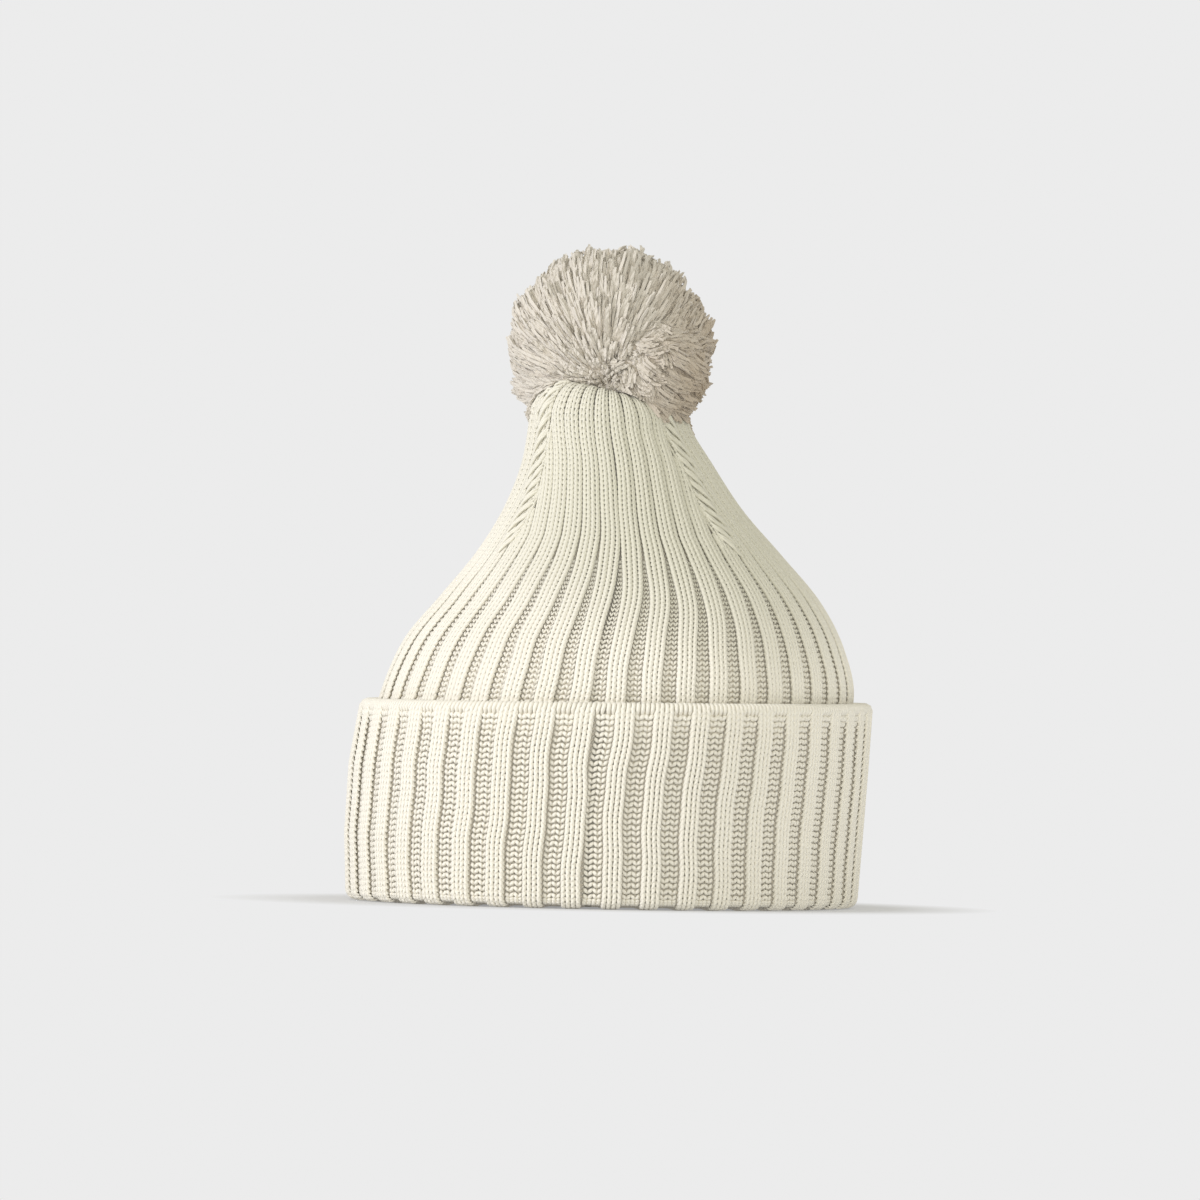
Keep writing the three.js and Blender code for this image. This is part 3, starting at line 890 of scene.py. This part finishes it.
def above_crown(points):
    """Each point's height over the crown's knit, and the way out of it."""
    ribs, alongs = np.arange(0, RIBS, 0.5), np.arange(TOP_FROM, crown_top, TOP_STEP)
    rib, along = np.meshgrid(ribs, alongs, indexing="ij")
    surface, normal = crown_place(rib.ravel(), along.ravel(), 0.0, 0.0)
    heights, ways = np.empty(len(points)), np.empty_like(points)
    for start in range(0, len(points), BATCH):
        part = slice(start, start + BATCH)
        nearest = ((points[part, None, :] - surface[None]) ** 2).sum(-1).argmin(1)
        heights[part] = ((points[part] - surface[nearest]) * normal[nearest]).sum(-1)
        ways[part] = normal[nearest]
    return heights, ways


def kept_clear(points, clearance):
    """Moves points that lie in the crown, or too near it, out of its knit."""
    moved = points.reshape(-1, 3).copy()
    low = np.flatnonzero(moved[:, 2] < CLEAR_UNDER)
    heights, ways = above_crown(moved[low])
    moved[low] += ways * np.clip(clearance - heights, 0, None)[:, None]
    return moved.reshape(points.shape)


sample, _ = above_crown(POMPOM_CENTRE[None])
print(f"The pompom's middle lies {sample[0]:.1f} mm above the gathered top")

# %% [markdown]
# Cut ends cling together in tufts and differ in length, because a ball is trimmed by eye. Near
# the parting they are combed to its sides, and where the yarn is looser they curl and droop.

# %% Ends of yarn
STRAND_RINGS = 4
S = np.linspace(0, 1, STRAND_RINGS)[None, :, None]  # the places along a strand
STRAND_SPREAD, TUFT_SPREAD, LEAN_SPREAD = 0.03, 0.06, 0.025
TUFT_PULL = 0.5  # how strongly a strand leans to its tuft
TUFT_TRIM, STRAND_TRIM = 0.03, 0.022  # how unevenly tufts and strands are trimmed
COMBED_BY, COMBED_CURL = 0.8, 0.25  # how far roots are moved to the parting, and less for curls
LOOSE_BY, LOOSE_TUFT = 0.11, 0.7  # how far other roots are moved by chance
ARCH_RISE = 0.06  # how far a strand arches over the ball
CURL_TURNS, CURL_LEAST, CURL_MORE = 0.85, 0.2, 1.2
DROOP = np.array([0, 0, -1.2])
WAVER = 0.1


def tuft_of_yarn(count, tuft_count, centre, reach, rooted, parting, combed_share, curliness, seed):
    """Strands from a centre, in tufts. Their roots are moved to the parting, so that they fall
    to its sides, and curliness gives each direction's share of curl."""
    rng = np.random.default_rng(seed)
    directions = unit(ball_directions(count) + rng.normal(0, STRAND_SPREAD, (count, 3)))
    tufts = unit(ball_directions(tuft_count) + rng.normal(0, TUFT_SPREAD, (tuft_count, 3)))
    tuft = (directions @ tufts.T).argmax(1)
    curliness = curliness(directions)[:, None, None]
    lean = unit(directions + TUFT_PULL * tufts[tuft] + rng.normal(0, LEAN_SPREAD, (count, 3)))
    trim = TUFT_TRIM * rng.normal(0, 1, tuft_count)[tuft]
    length = reach * (1 + trim + rng.normal(0, STRAND_TRIM, count))
    facing = directions @ unit(parting)
    combed = np.clip(facing * 0.8 + combed_share, 0, 1)[:, None]
    pulled = combed * (COMBED_BY - COMBED_CURL * np.clip(curliness[:, 0], 0, 1)) * parting
    loose = LOOSE_TUFT * rng.normal(0, 1, (tuft_count, 3))[tuft] + rng.normal(0, 1.0, (count, 3))
    pulled = pulled + (1 - combed) * LOOSE_BY * loose
    root = unit(directions + pulled) * (reach * rooted)
    line = root[:, None] * (1 - S) + (lean * length[:, None])[:, None] * S
    line += unit(line) * (4 * S * (1 - S) * (reach * ARCH_RISE))
    bend = unit(np.cross(directions, rng.normal(0, 1, (tuft_count, 3))[tuft]))[:, None]
    other = np.cross(bend, directions[:, None])
    turn = 2 * np.pi * (CURL_TURNS * S + rng.random(tuft_count)[tuft][:, None, None])
    curl = (np.sin(turn) * bend + np.cos(turn) * other) * (CURL_LEAST + CURL_MORE * curliness) * S
    droop = DROOP * S**2 * curliness
    return centre + line + curl + droop + rng.normal(0, WAVER, line.shape) * S


print(f"A strand has {STRAND_RINGS} rings of {len(END)} points")

# %% [markdown]
# ## The pompom's yarn
# It is the hat's yarn, but cut. Strands are painted paler at their roots, as painted light where the
# ball is deep and shaded, and darker towards their tips. Some are paler by chance, and painted shade
# makes the right and lower side darker and more brown. Plain sums of noise and place say so.

# %% The colour of the pompom
# painted light: roots are paler than tips, to lighten the shade deep in the ball
ROOT_CREAM_PAINTED_LIGHT, TIP_CREAM = (0.80, 0.735, 0.635, 1), (0.63, 0.585, 0.505, 1)
PALER_CREAM, PALER_SHARE = (0.70, 0.655, 0.575, 1), 0.35
# painted shade: a darker brown for the right and lower side
SHADED_RIGHT_CREAM, SHADED_RIGHT_SHARE = (0.39, 0.305, 0.205, 1), 0.92


def pompom_finish():
    sheet = Finish(bpy.data.materials.new("cream_pompom_yarn"))
    place, around, along = sheet.places()
    twist = ((around * 2.0 + along * 5.0) * (2 * np.pi)).sine()
    # painted light at the roots, fading to the tips' colour
    outwards = (along.fraction() * 1.5).clamped()
    shade = sheet.mix(outwards, ROOT_CREAM_PAINTED_LIGHT, TIP_CREAM)
    paler = (sheet.noise(place, 120.0, 2.0) * 2.2 - 0.7).clamped()
    colour = sheet.mix(paler * PALER_SHARE, shade, PALER_CREAM)
    # painted shade, stronger towards the right and the bottom, broken by noise
    spot = sheet.node("ShaderNodeSeparateXYZ", Vector=place)
    right = sheet.output(spot, "X") * 26.0 - sheet.output(spot, "Z") * 8.0 + 1.35
    right_shade = (right + sheet.noise(place, 90.0, 2.0) * 0.6 - 0.3).clamped() * SHADED_RIGHT_SHARE
    colour = sheet.mix(right_shade, colour, SHADED_RIGHT_CREAM)
    return sheet.finish(colour, 0.9, bump=twist, strength=0.4, distance=0.0003)


pompom_yarn = pompom_finish()
print("Made the pompom's yarn")

# %% [markdown]
# ## The two balls of yarn
# The pompom is one dense ball, with a looser tuft that hangs over its front right. One helper
# makes both. The ball leaves out the tuft's place, and strands deep in the hat are dropped.

# %% The strands
STRAND_RADIUS = 0.62
THICKNESS = [1, 1.05, 1.05, 0.75]  # of a strand at its four rings: a cut end is a little thinner
DEEPEST, CLEARANCE = -12, 0.9  # how far an end may lie in the crown before it is moved out


def pompom_strands():
    main = tuft_of_yarn(
        count=7300, tuft_count=420, centre=POMPOM_CENTRE, reach=POMPOM_RADIUS, rooted=0.87,
        parting=PARTING, combed_share=0.8, seed=11,
        curliness=lambda way: np.clip(1.2 * way[:, 0] - 0.5 * way[:, 2] - 0.1, 0, 1),
    )
    hanging = tuft_of_yarn(
        count=2400, tuft_count=130, centre=TUFT_CENTRE, reach=TUFT_RADIUS, rooted=0.8,
        parting=np.array([-0.55, -0.4, 0.35]), combed_share=2.0, seed=4,
        curliness=lambda way: np.full(len(way), 0.8),
    )
    main = main[np.linalg.norm(main[:, -1] - TUFT_CENTRE, axis=-1) > TUFT_RADIUS - 2]
    beyond = np.linalg.norm(hanging[:, -1] - POMPOM_CENTRE, axis=-1) > POMPOM_RADIUS - 6
    points = np.concatenate([main, hanging[beyond]])
    depth, _ = above_crown(points[:, -1])
    points = kept_clear(points[depth > DEEPEST], CLEARANCE)
    rng = np.random.default_rng(2)
    normals = unit(np.cross(np.gradient(points, axis=1), rng.normal(0, 1, (len(points), 1, 3))))
    radius = STRAND_RADIUS * np.array(THICKNESS)[None, :] + np.zeros((len(points), 1))
    return tubes(points, normals, radius, END)


points, faces, uv = pompom_strands()
strands = make_piece("pompom_strands", points, faces, pompom_yarn, uv, smooth=False)
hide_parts("pompom")

# %% [markdown]
# Between the ends the packed yarn itself shows. A plain ball a little under the strands' tips
# stands for it, with its own bumpy surface, so that no light falls through the pompom.

# %% The middle of the ball
CORE_ROWS, CORE_COLUMNS = 40, 64
POLE_GAP = 0.03  # the ball's first and last rings stand a little off its poles
CORE_SHARE, CORE_TUFT_SHARE = 0.93, 0.9  # the core's size in the ball and in the tuft
CORE_CLEARANCE = 0.4
theta, phi = np.meshgrid(
    np.linspace(POLE_GAP, np.pi - POLE_GAP, CORE_ROWS),
    np.arange(CORE_COLUMNS) * 2 * np.pi / CORE_COLUMNS,
    indexing="ij",
)
way = np.stack([np.sin(theta) * np.cos(phi), np.sin(theta) * np.sin(phi), np.cos(theta)], -1)
way = way.reshape(-1, 3)
apart = POMPOM_CENTRE - TUFT_CENTRE  # the ball swells towards the hanging tuft
ahead = -(way @ apart)
within = ahead**2 + (TUFT_RADIUS * CORE_TUFT_SHARE) ** 2 - apart @ apart
swell = ahead + np.sqrt(np.maximum(within, 0))
size = np.maximum(POMPOM_RADIUS * CORE_SHARE, np.where(ahead > 0, swell, 0))
points = kept_clear(POMPOM_CENTRE + way * size[:, None], CORE_CLEARANCE)
uv = np.stack([phi.ravel() * 8, 0.35 + 0 * phi.ravel()], -1)
faces = grid_faces(CORE_ROWS, CORE_COLUMNS)[:, ::-1]
core = make_piece("pompom_core", points, faces, pompom_yarn, uv)

# %% [markdown]
# ## The studio
# The hat stands on a pale floor before an equally pale sky. Near the hat the floor takes a faint
# shadow, and further out it shines evenly, so that no horizon shows.

# %% Floor and sky
BACKDROP_GREY = (0.838, 0.838, 0.838, 1)  # a pale grey of 236 in 255, as a linear colour
FLOOR_GREY = (0.6, 0.6, 0.6, 1)
FLOOR_RADIUS, FLOOR_CORNERS = 40, 64
SHADOW_REACH, SHADOW_FALL = 0.095, 28.0  # metres from the middle, and how fast the floor evens out
EVEN_LEAST = 0.35  # the even share of the floor right at the hat
SKY_LIGHT, SKY_STRENGTH = (1.0, 0.985, 0.905, 1), 0.76


def make_floor():
    sheet = Finish(bpy.data.materials.new("pale_floor"))
    place = sheet.output(sheet.node("ShaderNodeTexCoord"), "Object")
    length = sheet.node("ShaderNodeVectorMath", {"operation": "LENGTH"}, Vector=place)
    far = sheet.output(length, "Value")
    amount = ((far - SHADOW_REACH) * SHADOW_FALL).clamped() * (1 - EVEN_LEAST) + EVEN_LEAST
    lit = sheet.node("ShaderNodeBsdfDiffuse", Color=FLOOR_GREY)
    even = sheet.node("ShaderNodeEmission", Color=BACKDROP_GREY, Strength=1.0)
    sheet.join(amount, lit, even, "ShaderNodeOutputMaterial")
    turns = np.linspace(0, 2 * np.pi, FLOOR_CORNERS, endpoint=False)
    rim = [(FLOOR_RADIUS * np.cos(t), FLOOR_RADIUS * np.sin(t), 0) for t in turns]
    mesh = bpy.data.meshes.new("floor")
    mesh.from_pydata(rim, [], [list(range(FLOOR_CORNERS))])
    mesh.materials.append(sheet.owner)
    floor = bpy.data.objects.new("floor", mesh)
    bpy.context.collection.objects.link(floor)


def make_sky():
    world = bpy.data.worlds.new("pale_sky")
    bpy.context.scene.world = world
    sheet = Finish(world)
    seen = sheet.node("ShaderNodeBackground", Color=BACKDROP_GREY)
    lights = sheet.node("ShaderNodeBackground", Color=SKY_LIGHT, Strength=SKY_STRENGTH)
    seen_ray = sheet.output(sheet.node("ShaderNodeLightPath"), "Is Camera Ray")
    sheet.join(seen_ray, lights, seen, "ShaderNodeOutputWorld")


make_floor()
make_sky()
print("Laid the floor and hung the sky")

# %% [markdown]
# A broad lamp stands at the upper left and a weaker one in front. Area lamps give soft shadows
# between the ribs, which a sun lamp would draw too hard.

# %% Lamps
AIM = Vector((0, 0, 0.1))  # metres: the middle of the hat


def make_lamp(name, place, size, power, colour):
    light = bpy.data.lights.new(name, "AREA")
    light.shape = "DISK"
    light.size = size
    light.energy = power
    light.color = colour
    lamp = bpy.data.objects.new(name, light)
    lamp.location = place
    aim = AIM - Vector(place)
    lamp.rotation_euler = aim.to_track_quat("-Z", "Y").to_euler()
    bpy.context.collection.objects.link(lamp)


make_lamp("key", (-1.95, -0.95, 0.85), size=0.8, power=28, colour=(0.985, 0.98, 1.08))
make_lamp("front_fill", (0.35, -1.9, 0.3), size=0.6, power=8.5, colour=(1.0, 0.985, 0.93))
print("Set a broad lamp at the upper left and a weaker one in front")

# %% [markdown]
# ## The camera
# The picture is taken from straight in front with a very long lens, so the band's edges are
# nearly straight. It leans by one degree, as the picture does.

# %% The camera
PICTURE_PIXELS = 1200
MM_PER_PIXEL = 0.33
DISTANCE = 4.8
SENSOR = 36  # millimetres
CAMERA_X, CAMERA_Z = -0.0032, 0.1002
LEAN = -1.06  # degrees
camera_data = bpy.data.cameras.new("camera")
camera_data.sensor_width = SENSOR
camera_data.lens = SENSOR * DISTANCE / (PICTURE_PIXELS * MM_PER_PIXEL * MM)
camera_data.clip_end = 100
camera = bpy.data.objects.new("camera", camera_data)
camera.location = (CAMERA_X, -DISTANCE, CAMERA_Z)
camera.rotation_euler = (np.radians(90), np.radians(LEAN), 0)
bpy.context.collection.objects.link(camera)
bpy.context.scene.camera = camera
bpy.context.scene.view_settings.view_transform = "Standard"
print(f"The lens is {camera_data.lens:.0f} mm long")

# %% [markdown]
# Last, the scene is brought up to date.

# %% The end
bpy.context.view_layer.update()
